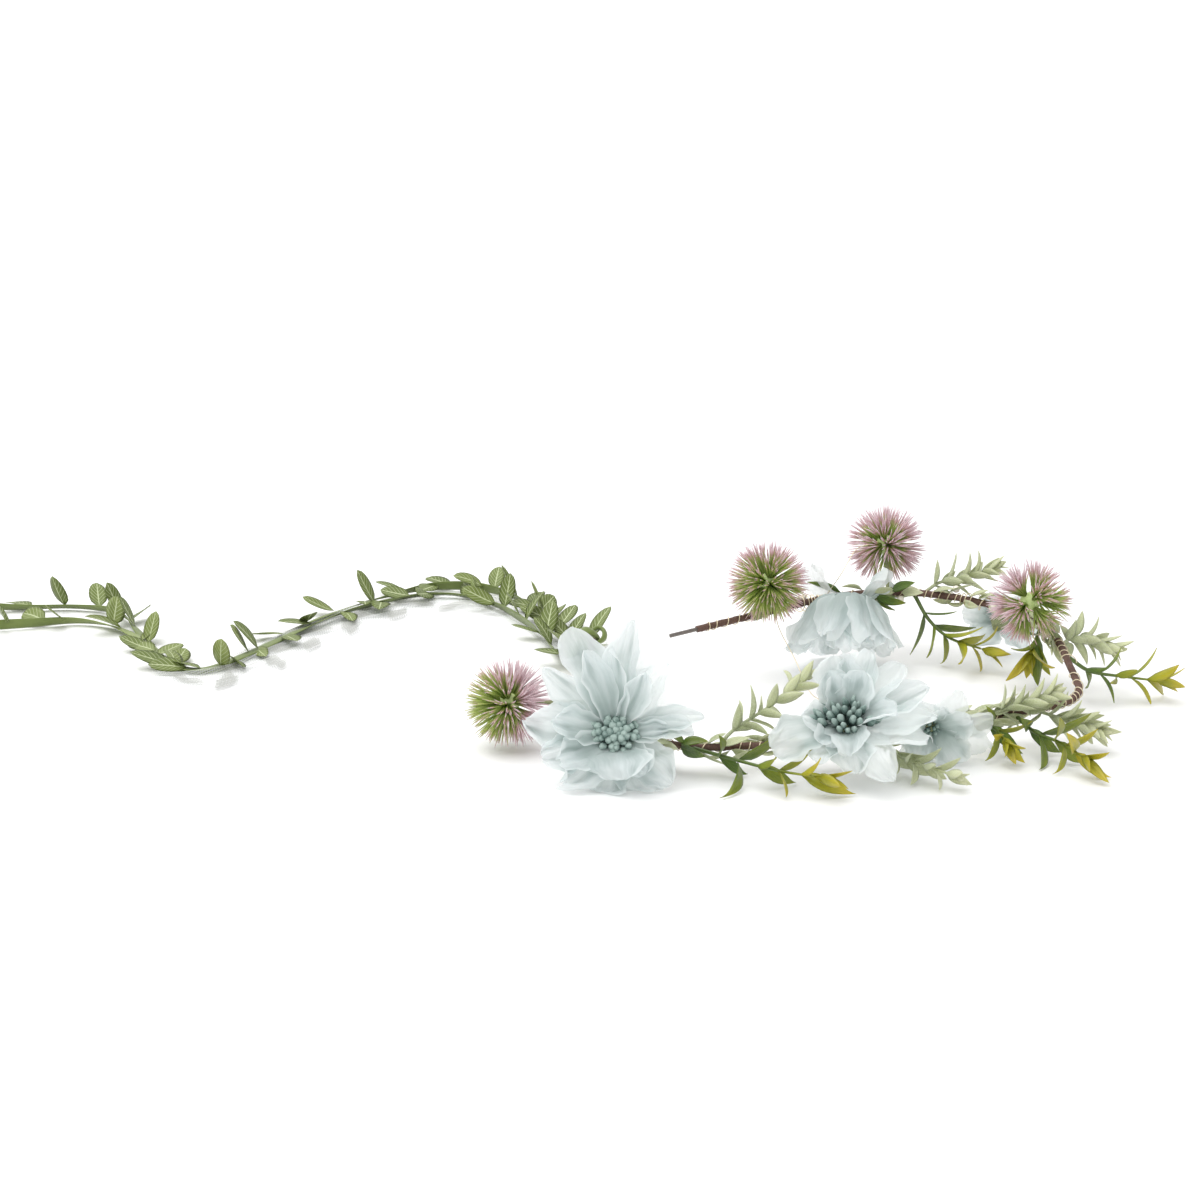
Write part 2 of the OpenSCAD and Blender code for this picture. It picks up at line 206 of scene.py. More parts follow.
# ---------------------------------------------------------------- materials
class Nodes:
    """A new material, and short names for the nodes that the materials use."""

    def __init__(self, name):
        self.material = bpy.data.materials.new(name)
        self.material.use_nodes = True
        self.tree = self.material.node_tree
        self.tree.nodes.clear()

    def add(self, kind, inputs=(), **props):
        n = self.tree.nodes.new(kind)
        for key, value in props.items():
            setattr(n, key, value)
        for key, value in dict(inputs).items():
            socket = n.inputs[key]
            if isinstance(value, bpy.types.NodeSocket):
                self.tree.links.new(value, socket)
            else:
                socket.default_value = value
        return n

    def value(self, name):
        return self.add("ShaderNodeAttribute", attribute_name=name).outputs["Fac"]

    def cloth(self, scale=(1, 1, 1)):
        uv = self.add("ShaderNodeUVMap", uv_map="cloth").outputs[0]
        return self.add("ShaderNodeMapping", {"Vector": uv, "Scale": scale}).outputs[0]

    def place(self, scale):
        spot = self.add("ShaderNodeTexCoord").outputs["Object"]
        return self.add("ShaderNodeMapping", {"Vector": spot, "Scale": (scale,) * 3}).outputs[0]

    def noise(self, vector, detail=4.0, rough=0.6):
        return self.add("ShaderNodeTexNoise", {"Vector": vector, "Scale": 1.0, "Detail": detail,
                                               "Roughness": rough}).outputs["Fac"]

    def wave(self, vector, scale, direction):
        return self.add("ShaderNodeTexWave", {"Vector": vector, "Scale": scale},
                        bands_direction=direction).outputs["Fac"]

    def math(self, kind, a, b=0.0):
        return self.add("ShaderNodeMath", {0: a, 1: b}, operation=kind).outputs[0]

    def plus(self, a, b):
        return self.math("ADD", a, b)

    def times(self, a, b):
        return self.math("MULTIPLY", a, b)

    def span(self, value, low, high, to_low=0.0, to_high=1.0):
        return self.add("ShaderNodeMapRange", {"Value": value, "From Min": low, "From Max": high,
                                               "To Min": to_low, "To Max": to_high}).outputs[0]

    def stirred(self, value, noise, amount):
        """value moved up and down by a noise."""
        return self.plus(value, self.span(noise, 0.3, 0.7, -amount, amount))

    def ramp(self, value, *stops):
        r = self.add("ShaderNodeValToRGB", {"Fac": value})
        e = r.color_ramp.elements
        while len(e) < len(stops):
            e.new(0.5)
        for spot, (at, colour) in zip(e, stops):
            spot.position = at
            spot.color = (*colour, 1)
        return r.outputs["Color"]

    def mix(self, share, a, b):
        n = self.add("ShaderNodeMix", data_type="RGBA")
        for socket, value in ((n.inputs[0], share), (n.inputs[6], a), (n.inputs[7], b)):
            if isinstance(value, bpy.types.NodeSocket):
                self.tree.links.new(value, socket)
            else:
                socket.default_value = value if socket is n.inputs[0] else (*value, 1)
        return n.outputs[2]

    def bump(self, height, strength, distance):
        return self.add("ShaderNodeBump", {"Height": height, "Strength": strength,
                                           "Distance": distance}).outputs[0]

    def principled(self, **inputs):
        names = {k.replace("_", " "): v for k, v in inputs.items()}
        return self.add("ShaderNodeBsdfPrincipled", names).outputs[0]

    def glow(self, colour, **more):
        """Light that comes through from behind."""
        return self.add("ShaderNodeBsdfTranslucent", {"Color": colour, **more}).outputs[0]

    def clear(self):
        return self.add("ShaderNodeBsdfTransparent").outputs[0]

    def blend(self, share, a, b):
        n = self.add("ShaderNodeMixShader", {0: share})
        self.tree.links.new(a, n.inputs[1])
        self.tree.links.new(b, n.inputs[2])
        return n.outputs[0]

    def done(self, shader):
        out = self.add("ShaderNodeOutputMaterial")
        self.tree.links.new(shader, out.inputs["Surface"])
        return self.material


def petal_material():
    """Organza: a tint under PLAIN_TINT paints shade into a valley, above it a painted highlight on a
    crest, edge or tip, and from VEIL_TINT up the cloth thins out."""
    n = Nodes("organza")
    along = n.value("along")
    streak = n.noise(n.cloth((0.9, 0.10, 1)), 5)
    cloud = n.noise(n.place(70), 3)
    # darker towards the base and near white at the tip: painted shade in the flower's heart and painted
    # highlight at the tips
    colour = n.ramp(n.stirred(along, cloud, 0.10), (0.0, (0.18, 0.25, 0.23)), (0.16, (0.33, 0.42, 0.40)),
                    (0.42, (0.58, 0.66, 0.64)), (0.75, (0.79, 0.85, 0.85)),
                    (1.0, (0.90, 0.94, 0.95)))
    colour = n.mix(n.span(streak, 0.35, 0.7, 0.0, 0.42), colour, (0.46, 0.55, 0.53))
    tint = n.value("tint")
    # painted shade: the valleys of the folds are darkened
    colour = n.mix(n.span(tint, 0.0, PLAIN_TINT, 0.9, 0.0), colour, (0.30, 0.39, 0.37))
    # painted highlight: crests, edges and tips are made paler
    colour = n.mix(n.span(tint, PLAIN_TINT, 0.48, 0.0, 0.9), colour, (0.90, 0.94, 0.94))
    weave = n.plus(n.wave(n.cloth(), 2.2, "X"), n.wave(n.cloth(), 2.2, "Y"))
    height = n.plus(n.times(weave, 0.12), streak)
    normal = n.bump(height, 0.35, 0.0003)
    face = n.principled(Base_Color=colour, Roughness=0.62, Normal=normal, Sheen_Weight=0.25,
                        Specular_IOR_Level=0.3)
    cloth = n.blend(0.46, face, n.glow(colour, Normal=normal))
    veil = n.span(tint, VEIL_TINT, 1.0, 0.0, 0.62)
    open_share = n.plus(n.span(along, 0.1, 1.0, 0.03, 0.20), veil)
    return n.done(n.blend(open_share, cloth, n.clear()))


def stamen_material():
    n = Nodes("stamen_pips")
    grain = n.noise(n.place(900), 6)
    colour = n.ramp(n.stirred(n.value("tint"), grain, 0.2), (0.0, (0.015, 0.028, 0.024)),
                    (0.5, (0.12, 0.19, 0.17)), (1.0, (0.36, 0.46, 0.42)))
    return n.done(n.principled(Base_Color=colour, Roughness=0.8,
                               Normal=n.bump(grain, 0.5, 0.0004)))


def needle_material():
    n = Nodes("needle_plastic")
    mixed = n.stirred(n.value("tint"), n.noise(n.place(260)), 0.12)
    colour = n.ramp(mixed, (0.0, (0.46, 0.60, 0.14)), (0.35, (0.68, 0.76, 0.32)),
                    (0.55, (0.76, 0.72, 0.50)), (0.75, (0.86, 0.66, 0.68)),
                    (1.0, (0.92, 0.80, 0.83)))
    face = n.principled(Base_Color=colour, Roughness=0.45, Specular_IOR_Level=0.4)
    return n.done(n.blend(0.6, face, n.glow(colour)))


def leaf_material(name, stops, rough, vein_share, vein_colour, glow_share, dust=None):
    """A veined leaf, glossy or, with a dust colour, flocked."""
    n = Nodes(name)
    spot = n.add("ShaderNodeSeparateXYZ", {0: n.cloth()})
    across, along = n.math("ABSOLUTE", spot.outputs[0]), spot.outputs[1]
    cloud = n.noise(n.place(160), 5)
    colour = n.ramp(n.stirred(n.value("tint"), cloud, 0.08), *stops)
    side = n.math("SUBTRACT", n.times(along, 7.0), n.times(across, 2.2))
    ribs = n.math("PINGPONG", side, 0.5)
    line = n.math("MAXIMUM", n.span(ribs, 0.09, 0.02), n.span(across, 0.09, 0.04))
    colour = n.mix(n.times(line, vein_share), colour, vein_colour)
    height = n.plus(n.times(line, 0.6), n.times(cloud, 0.4))
    if dust:
        fluff = n.noise(n.place(2400), 5, 0.7)
        colour = n.mix(n.span(fluff, 0.42, 0.68, 0.05, 0.65), colour, dust)
        height = n.plus(height, n.times(fluff, 1.5))
    normal = n.bump(height, 0.45, 0.0003)
    face = n.principled(Base_Color=colour, Normal=normal, Roughness=rough,
                        Sheen_Weight=0.5 if dust else 0.0, Coat_Weight=0.0 if dust else 0.25,
                        Coat_Roughness=0.25)
    return n.done(n.blend(glow_share, face, n.glow(colour, Normal=normal)))


def tape_material():
    n = Nodes("paper_tape")
    crepe = n.noise(n.cloth((0.6, 5.0, 1)), 6, 0.7)
    cloud = n.noise(n.place(120), 4)
    colour = n.ramp(n.plus(n.times(crepe, 0.6), n.times(cloud, 0.4)),
                    (0.30, (0.05, 0.026, 0.018)), (0.5, (0.12, 0.065, 0.048)),
                    (0.70, (0.27, 0.17, 0.14)))
    return n.done(n.principled(Base_Color=colour, Roughness=0.85, Normal=n.bump(crepe, 0.8, 0.0004)))


def metal_material(name, dark, light, rough):
    n = Nodes(name)
    scratch = n.noise(n.place(500), 6)
    colour = n.mix(scratch, dark, light)
    return n.done(n.principled(Base_Color=colour, Metallic=1.0,
                               Roughness=n.span(scratch, 0.3, 0.7, rough, rough + 0.2)))


def plain_material(name, dark, light, rough, scale, bump, **more):
    n = Nodes(name)
    grain = n.noise(n.place(scale), 5)
    colour = n.mix(n.span(grain, 0.3, 0.7), dark, light)
    return n.done(n.principled(Base_Color=colour, Roughness=rough,
                               Normal=n.bump(grain, bump, 0.0002), **more))


def tulle_material():
    n = Nodes("tulle_net")
    lines = [n.wave(n.cloth(), 0.42, "DIAGONAL"),
             n.wave(n.cloth((-1, 1, 1)), 0.42, "DIAGONAL"), n.wave(n.cloth(), 0.30, "X")]
    thread = n.math("MAXIMUM", n.math("MAXIMUM", lines[0], lines[1]), lines[2])
    # painted shadow of the leaf trim: in leaf shapes the net is greyer and shows more
    leaf_shadow = n.value("tint")
    share = n.plus(n.span(thread, 0.86, 0.97, 0.06, 0.60), n.times(leaf_shadow, 0.30))
    colour = n.mix(leaf_shadow, (0.82, 0.84, 0.83), (0.46, 0.47, 0.44))
    face = n.principled(Base_Color=colour, Roughness=0.7, Sheen_Weight=0.3)
    return n.done(n.blend(share, n.clear(), face))


def band_material():
    n = Nodes("trim_band")
    weave = n.plus(n.wave(n.cloth(), 1.6, "X"), n.wave(n.cloth(), 0.9, "Y"))
    cloud = n.noise(n.place(90), 4)
    colour = n.ramp(n.stirred(n.value("tint"), cloud, 0.1), *TRIM_GREENS)
    colour = n.mix(n.span(weave, 0.0, 2.0, 0.0, 0.2), colour, (0.32, 0.42, 0.15))
    return n.done(n.principled(Base_Color=colour, Roughness=0.6, Sheen_Weight=0.3,
                               Normal=n.bump(weave, 0.25, 0.0002)))


PLAIN_TINT, VEIL_TINT = 0.22, 0.5
TRIM_GREENS = [(0.0, (0.075, 0.115, 0.016)), (0.45, (0.150, 0.200, 0.036)),
               (0.75, (0.27, 0.33, 0.09)), (1.0, (0.42, 0.50, 0.26))]
PETAL = petal_material()
PIP = stamen_material()
NEEDLE = needle_material()
TAPE = tape_material()
TULLE = tulle_material()
GOLD = metal_material("gold_wire", (0.66, 0.54, 0.34), (0.94, 0.86, 0.66), 0.28)
STEEL = metal_material("core_steel", (0.10, 0.08, 0.07), (0.34, 0.31, 0.29), 0.4)
PEARL = plain_material("cream_bead", (0.80, 0.72, 0.60), (0.93, 0.89, 0.80), 0.25, 300.0, 0.1,
                       Coat_Weight=0.6)
CALYX = plain_material("calyx_tape", (0.16, 0.20, 0.09), (0.34, 0.36, 0.20), 0.8, 500.0, 0.7)
CORE = plain_material("pompom_core", (0.42, 0.56, 0.18), (0.66, 0.76, 0.36), 0.5, 600.0, 0.4)
GLOSSY = leaf_material(
    "glossy_leaf",
    [(0.0, (0.035, 0.090, 0.020)), (0.30, (0.11, 0.19, 0.026)), (0.5, (0.27, 0.33, 0.028)),
     (0.75, (0.48, 0.47, 0.030)), (1.0, (0.68, 0.56, 0.04))],
    0.38, 0.18, (0.35, 0.40, 0.10), 0.25)
FLOCKED = leaf_material(
    "flocked_leaf",
    [(0.0, (0.26, 0.31, 0.13)), (0.4, (0.54, 0.60, 0.31)), (0.75, (0.76, 0.79, 0.48)),
     (1.0, (0.90, 0.90, 0.62))],
    0.85, 0.10, (0.50, 0.54, 0.38), 0.3, dust=(0.88, 0.91, 0.76))
TRIM = leaf_material("leaf_trim", TRIM_GREENS, 0.6, 0.95, (0.60, 0.67, 0.38), 0.15)
BAND = band_material()

# ---------------------------------------------------------------- the ring's path
# The wire runs from a start (x, y, heading) in the ring's tilted plane. Its path is a row of
# arcs (radius, degrees) and straight runs (0, length).
RING_HEIGHT, RING_TILT, FLEX_GAP = 18.5, math.radians(7.2), 0.8
FRONT_START = (-86, 30, -95)
FRONT_PATH = [(150, 35), (24, 65), (0, 40), (60, 17), (0, 78), (20, 70), (0, 17 - FLEX_GAP / 2)]
FLEX_POINT = (97.6, 3.2, 92)
BACK_PATH = [(0, 17 - FLEX_GAP / 2), (62, 120), (0, 56)]
TAPE_R = 1.35


def step(p, run):
    """Where one run leads from p."""
    x, y, heading = p
    bend, amount = run
    h = math.radians(heading)
    if bend == 0:
        return (x + amount * math.cos(h), y + amount * math.sin(h), heading)
    a = math.radians(heading + amount)
    return (x + bend * (math.sin(a) - math.sin(h)), y + bend * (math.cos(h) - math.cos(a)),
            heading + amount)


def run_length(run):
    return run[1] if run[0] == 0 else run[0] * math.radians(run[1])


BACK_START = step(FLEX_POINT, (0, FLEX_GAP / 2))
FRONT_LENGTH = sum(map(run_length, FRONT_PATH))
BACK_LENGTH = sum(map(run_length, BACK_PATH))


def wire_pose(back, d):
    """(point, direction along the wire, direction outward, the ring plane's up) at distance d."""
    p, path = (BACK_START, BACK_PATH) if back else (FRONT_START, FRONT_PATH)
    for k, run in enumerate(path):
        if d <= run_length(run) or k == len(path) - 1:
            p = step(p, (0, d) if run[0] == 0 else (run[0], math.degrees(d / run[0])))
            break
        p, d = step(p, run), d - run_length(run)
    c, s = math.cos(RING_TILT), math.sin(RING_TILT)
    h = math.radians(p[2])
    ahead = np.array([math.cos(h), math.sin(h) * c, math.sin(h) * s])
    up = np.array([0.0, -s, c])
    return np.array([p[0], p[1] * c, RING_HEIGHT + p[1] * s]), ahead, np.cross(ahead, up), up


def wire_point(back, d):
    return wire_pose(back, d)[0]


def bound_point(back, d, towards):
    """A point just inside the tape, on the side that faces towards."""
    w = wire_point(back, d)
    return w + unit(np.asarray(towards, float) - w) * (TAPE_R - 0.1)


# ---------------------------------------------------------------- tape, gold wire, beads
TAPE_STEP, TAPE_LAP, TAPE_SIDES = 0.7, 6.5, 20
TAPE_JOIN = 92.0


def taped(poses, start):
    """The tape is wound on a slant, each turn lapping the last."""
    rings, uv = [], []
    for k, (p, _, out, up) in enumerate(poses):
        d = start + k * TAPE_STEP
        ring, flat = [], []
        for j in range(TAPE_SIDES):
            a = 2 * math.pi * j / TAPE_SIDES
            turn = (d / TAPE_LAP + j / TAPE_SIDES) % 1
            r = TAPE_R - 0.10 + 0.20 * turn + 0.05 * math.sin(d * 0.9 + 3 * a)
            ring.append(p + r * turned(out, up, a))
            flat.append((a * TAPE_R + d * 0.8, d))
        rings.append(ring)
        uv.append(flat)
    shape = Shape()
    shape.grid(np.array(rings), closed=True, uv=np.array(uv))
    return shape


# The left end, which carries the ribbons, is stiff; the rest runs on across the flexing point and is
# left unattached.
left_poses = [wire_pose(False, d) for d in np.arange(0, TAPE_JOIN + 0.5, TAPE_STEP)]
taped(left_poses, 0).make("tape_left", TAPE, "paper_tape", "front_half")
join = (len(left_poses) - 1) * TAPE_STEP
main_poses = [wire_pose(False, d) for d in np.arange(join, FRONT_LENGTH, TAPE_STEP)]
main_poses += [wire_pose(True, d) for d in np.arange(0.3, BACK_LENGTH, TAPE_STEP)]
tape_ring = taped(main_poses, join).make("tape_ring", TAPE, "paper_tape",
                                         replaces=("tape_front", "tape_back"))
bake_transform(tape_ring)


GOLD_STEPS = 18


def gold_wire(name, back, low, high, body, node, seed, strays=()):
    """Thin wire wound round the tape with an uneven pitch and a few loose turns."""
    shape, line = Shape(), []
    turn, d = 0.0, low
    phase = random.Random(seed).uniform(0, 6)
    while d < high:
        p, _, out, up = wire_pose(back, d)
        pitch = 5.2 + 2.6 * math.sin(d * 0.11 + phase) + 1.2 * math.sin(d * 0.37)
        loose = 1.6 * max(0.0, math.sin(d * 0.085 + phase)) ** 10
        line.append(p + (TAPE_R + 0.36 + loose) * turned(out, up, turn * 2 * math.pi))
        turn += 1 / GOLD_STEPS
        d += pitch / GOLD_STEPS
    tube(shape, np.array(line), 0.2, 6)
    for stray in strays:
        tube(shape, smooth_path(stray, 1.0), 0.16, 6)
    shape.make(name, GOLD, "gold_wire", body, replaces=(node,))


gold_wire("gold_winding_front", False, 27, FRONT_LENGTH - 3, "front_half", "gold_wire_front", 3)
gold_wire("gold_winding_back", True, 4, BACK_LENGTH - 5, "back_half", "gold_wire_back", 8, strays=[
    [wire_point(True, 164) + (0, 0, 1.6), (-12, 50, 22), (-6, 38, 12), (-1, 27, 2.5), (3, 20, 0.6)],
    [wire_point(True, 139) + (0, 0, 1.6), (14, 72, 38), (20, 76, 47), (25, 74, 50)],
])

BEAD_R = 1.5
# distance along the back wire, degrees round it, and the length of a drop's tail
BEAD_ROWS = [(86, 130, 0), (66, 30, 0), (139, 200, 4), (148, 170, 4), (51, 190, 4), (108, 330, 0)]
beads = Shape()
for distance, angle, tail in BEAD_ROWS:
    p, ahead, out, up = wire_pose(True, distance)
    a = math.radians(angle)
    middle = p + (TAPE_R + 0.7 + BEAD_R) * turned(-out, up, a)
    shares = np.linspace(0.01, 0.99, 18)
    if tail:
        x = -BEAD_R + shares * (2 * BEAD_R + tail)
        r = BEAD_R * np.sin(math.pi * shares ** 0.62) ** 0.8
    else:
        x = -BEAD_R * np.cos(math.pi * shares)
        r = BEAD_R * np.sin(math.pi * shares)
    line = middle + x[:, None] * ahead
    _, s1, s2 = frames(np.array([line[0], line[-1]]))
    ring = turned(s1[0], s2[0], around(16)[None, :, None])
    beads.grid(line[:, None] + r[:, None, None] * ring, closed=True)
beads.make("cream_beads", PEARL, "beads", "back_half", replaces=("beads",))


# ---------------------------------------------------------------- leaves and sprays
# A leaf's cross section: places across it, and heights that give its upper face a groove.
ACROSS = np.array([-1, -0.55, 0, 0.55, 1, 0.55, 0, -0.55])
TOP = np.array([0, 1, 0.35, 1, 0, -0.7, -1.5, -0.7])


def lance(t):
    """Half width of a narrow pointed leaf, as a share."""
    return (0.12 + 0.88 * np.clip(t / 0.16, 0, 1)) * np.clip(
        np.sin(math.pi * np.clip(t, 0, 1) ** 0.78), 0, 1) ** 0.85 + 0.03


def oval(t):
    """Half width of a broad leaf, as a share."""
    return (0.15 + 0.85 * np.clip(t / 0.14, 0, 1)) * np.clip(
        4 * t * (1 - t), 0, 1) ** 0.62 * (1 - 0.12 * t) + 0.02


def walked(ahead, length):
    """Where one gets to from nothing, going length in all by these directions."""
    steps = np.cumsum((ahead[1:] + ahead[:-1]) / 2, axis=0)
    return np.vstack([np.zeros(3), steps]) * length / (len(ahead) - 1)


def leaf(shape, base, heading, face, length, width, thick=0.5, bend=30.0, fold=0.25, tint=0.0,
         tint_rise=0.0, outline=lance, twist=0.0, steps=11):
    """A solid leaf with a grooved upper face. It bends away from face towards its tip."""
    heading = unit(heading)
    face = unit(face - (np.asarray(face) @ heading) * heading)
    side = np.cross(heading, face)
    t = np.linspace(0, 1, steps)
    a = np.radians(bend) * t
    ahead = turned(heading, -face, a[:, None])
    top = turned(face, heading, a[:, None])
    mid = np.asarray(base) + walked(ahead, length)
    tw = (np.radians(twist) * t)[:, None]
    sides = turned(side, top, tw)
    tops = turned(top, -side, tw)
    w = outline(t) * width / 2
    lift = fold * np.abs(ACROSS)[None, :] * w[:, None]
    lift = lift + TOP[None, :] * thick / 2 * (0.35 + 0.65 * outline(t))[:, None]
    pts = mid[:, None] + (ACROSS[None, :] * w[:, None])[..., None] * sides[:, None]
    pts = pts + lift[..., None] * tops[:, None]
    uv = np.stack(np.broadcast_arrays(ACROSS[None, :], t[:, None]), -1)
    shape.grid(on_table(pts), closed=True, uv=uv, along=t, tint=tint + tint_rise * t)


def leaning(stem, outward, lean):
    """A leaf's heading as it leans out from a stem by lean, and the way that its face looks."""
    return turned(stem, outward, lean), turned(-outward, stem, lean)


def spray(name, row, kind, node, rng):
    """A stem from the ring through points, pairs of leaves up it, and a tuft at its tip."""
    back, distance, points, roll, leaf_length, leaf_width, pairs, spread = row
    shape = Shape()
    line = smooth_path([bound_point(back, distance, points[0]), *points], 0.8)
    count = len(line)
    t, a, b = frames(line)
    glossy = kind == "glossy"
    share = np.linspace(0, 1, count)
    tube(shape, line, np.interp(share, [0, 1], [0.85, 0.42] if glossy else [0.75, 0.4]), 8,
         tint=np.interp(share, [0, 0.5, 1], [0.05, 0.2, 0.62] if glossy else [0.15, 0.3, 0.6]))
    whorls = pairs + (1 if glossy else 3)
    for k in range(whorls):
        s = 0.14 + 0.84 * (k + 0.5) / whorls
        i = min(count - 2, int(s * (count - 1)))
        size = (1.12 - 0.28 * abs(s - 0.45)) * rng.uniform(0.9, 1.1)
        turn = math.radians(roll + 90 * k + rng.uniform(-18, 18))
        for side in (0, math.pi):
            lean = math.radians(spread + rng.uniform(-8, 10) - 14 * s)
            heading, face = leaning(t[i], turned(a[i], b[i], turn + side), lean)
            ripe = s + rng.uniform(-0.12, 0.12)
            if glossy:
                tint, rise = 0.10 + 0.66 * max(0, ripe) ** 1.2, 0.14 + 0.26 * s
                size *= rng.uniform(0.9, 1.3)
            else:
                tint, rise = 0.15 + 0.45 * ripe, 0.28
            leaf(shape, line[i], heading, face, leaf_length * size,
                 leaf_width * (0.8 if glossy else 1.0) * size,
                 0.55 if glossy else 0.5, rng.uniform(20, 66) if glossy else rng.uniform(-10, 44),
                 0.22 if glossy else 0.38, tint, rise, twist=rng.uniform(-25, 25))
    # leaves that hug the ring near the spray's root
    if glossy:
        reach, hugging = ((2, 30) if back else (-20, 6)), (5 if 60 < distance < 200 else 0)
    elif back:
        reach, hugging = (-30 if distance > 60 else 0, 30), 18
    else:
        reach, hugging = (-24, 28 if distance < 200 else 4), 18
    for k in range(hugging):
        p, ahead, out, up = wire_pose(back, distance + rng.uniform(*reach))
        turn = rng.uniform(0, 2 * math.pi)
        n = turned(out, up, turn)
        way = (1 if k % 3 else -1) * (-1 if back else 1)
        leaf(shape, p + 1.5 * n, way * ahead + (0.9 if glossy else 0.55) * n, n,
             leaf_length * rng.uniform(0.7, 1.05), leaf_width * 0.85, 0.45, rng.uniform(-5, 35),
             0.38, rng.uniform(0.05, 0.3) if glossy else rng.uniform(0.25, 0.7), 0.25,
             twist=rng.uniform(-25, 25))
    for k in range(3 if glossy else 4):
        out = turned(a[-1], b[-1], math.radians(roll + 120 * k + 40))
        heading, face = leaning(t[-1], out, math.radians(rng.uniform(8, 22)))
        leaf(shape, line[-1], heading, face,
             leaf_length * rng.uniform(0.75, 1.0) if glossy else leaf_length * 0.6,
             leaf_width * (0.85 if glossy else 0.7), 0.5, rng.uniform(5, 25), 0.25,
             0.66 if glossy else 0.65, 0.3)
    shape.make(name, GLOSSY if glossy else FLOCKED, f"{kind}_leaves",
               "back_half" if back else "front_half", replaces=(node,))


# on the back half, distance, the stem's points, roll, leaf length, leaf width, pairs, spread
GLOSSY_ROWS = [
    (False, 112, [(-34, -82, 9), (-20, -91, 8), (-7, -98, 8)], 45, 16, 5, 4, 42),
    (True, 102.8, [(50, 72, 19), (58, 66, 13), (70, 61, 10)], 0, 15, 5, 4, 42),
    (False, 238, [(77, -51, 10), (85, -61, 9), (91, -74, 8)], 45, 17, 5, 4, 42),
    (True, 12, [(107, 15, 14), (120, 18, 11), (133.5, 19, 9)], 45, 14, 4.5, 4, 40),
    (False, 223, [(63, -52, 11), (65, -59, 9)], 45, 13, 4.5, 2, 40),
    (True, 41, [(90, 45, 19), (88, 41, 14)], 20, 14, 5, 2, 40),
]
FLOCKED_ROWS = [
    (False, 122, [(-34, -64, 15), (-20, -56, 22), (-8, -48, 29)], 10, 11, 4, 6, 45),
    (True, 99, [(55, 82, 32), (65, 83, 34), (76, 82, 38)], 0, 11, 4, 6, 45),
    (True, 22, [(103, 34, 22), (110, 35, 21), (118, 35, 18)], 0, 11, 4, 6, 45),
    (False, 226, [(68, -44, 17), (76, -42, 19), (84, -40, 21)], 15, 11, 4, 5, 42),
    (False, 184, [(24, -71, 8), (33, -82, 7), (43, -90, 6)], 35, 11, 4, 4, 42),
    (False, 247, [(86, -38, 12), (93, -41, 11), (101, -45, 9)], 20, 12, 4, 5, 40),
]
for kind, rows in (("glossy", GLOSSY_ROWS), ("flocked", FLOCKED_ROWS)):
    for number, row in enumerate(rows, 1):
        spray(f"{kind}_leaves_{number}", row, kind, f"{kind}_spray_{number}",
              random.Random(40 * number + len(kind)))


# ---------------------------------------------------------------- flowers
def crease(x):
    """A wave with sharp crests."""
    return 2 / math.pi * np.arcsin(np.sin(x))


PETAL_ROWS, PETAL_COLS = 34, 27


